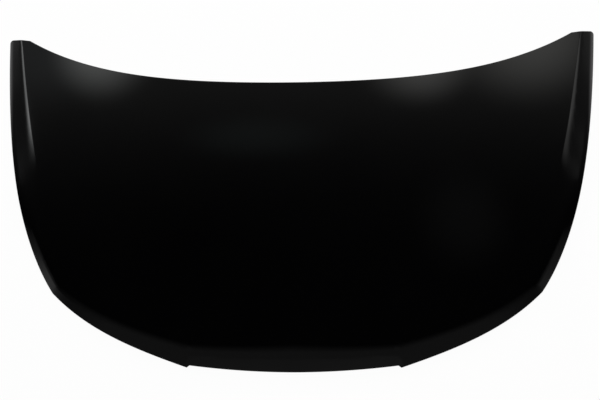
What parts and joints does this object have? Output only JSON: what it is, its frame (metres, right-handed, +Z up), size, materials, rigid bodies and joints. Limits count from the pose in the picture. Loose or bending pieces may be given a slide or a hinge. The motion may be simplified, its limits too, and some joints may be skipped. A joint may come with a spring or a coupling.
{
  "type": "car bonnet",
  "caption": "Pressed-steel car bonnet in black primer: arched skin with creased sides, hemmed round a ribbed inner panel with hinge and latch seats.",
  "frame": {"origin": "on the ground, under the middle of the bounding box", "axes": "+X across the car along the bonnet's width, +Y back from the nose to the windscreen, +Z up out of the skin"},
  "size_m": [1.4164, 0.8168, 0.0917],
  "materials": {
    "black_primer": "satin black electrocoat primer",
    "black_primer_inside": "satin to matt black electrocoat primer",
    "plated_steel": "dull zinc plate",
    "mastic": "matt"
  },
  "bodies": {
    "root": {"outer_panel": "black_primer", "inner_panel": "black_primer_inside", "hinge_plate_left": "black_primer_inside", "hinge_plate_right": "black_primer_inside", "latch_plate": "black_primer_inside", "prop_plate": "black_primer_inside", "hinge_nut_left_front": "plated_steel", "hinge_nut_left_rear": "plated_steel", "hinge_nut_right_front": "plated_steel", "hinge_nut_right_rear": "plated_steel", "latch_nut_left": "plated_steel", "latch_nut_right": "plated_steel", "mastic_pad_left_1": "mastic", "mastic_pad_left_2": "mastic", "mastic_pad_left_3": "mastic", "mastic_pad_left_4": "mastic", "mastic_pad_left_5": "mastic", "mastic_pad_left_6": "mastic", "mastic_pad_left_7": "mastic", "mastic_pad_left_8": "mastic", "mastic_pad_right_1": "mastic", "mastic_pad_right_2": "mastic", "mastic_pad_right_3": "mastic", "mastic_pad_right_4": "mastic", "mastic_pad_right_5": "mastic", "mastic_pad_right_6": "mastic", "mastic_pad_right_7": "mastic", "mastic_pad_right_8": "mastic"}
  },
  "joints": []
}
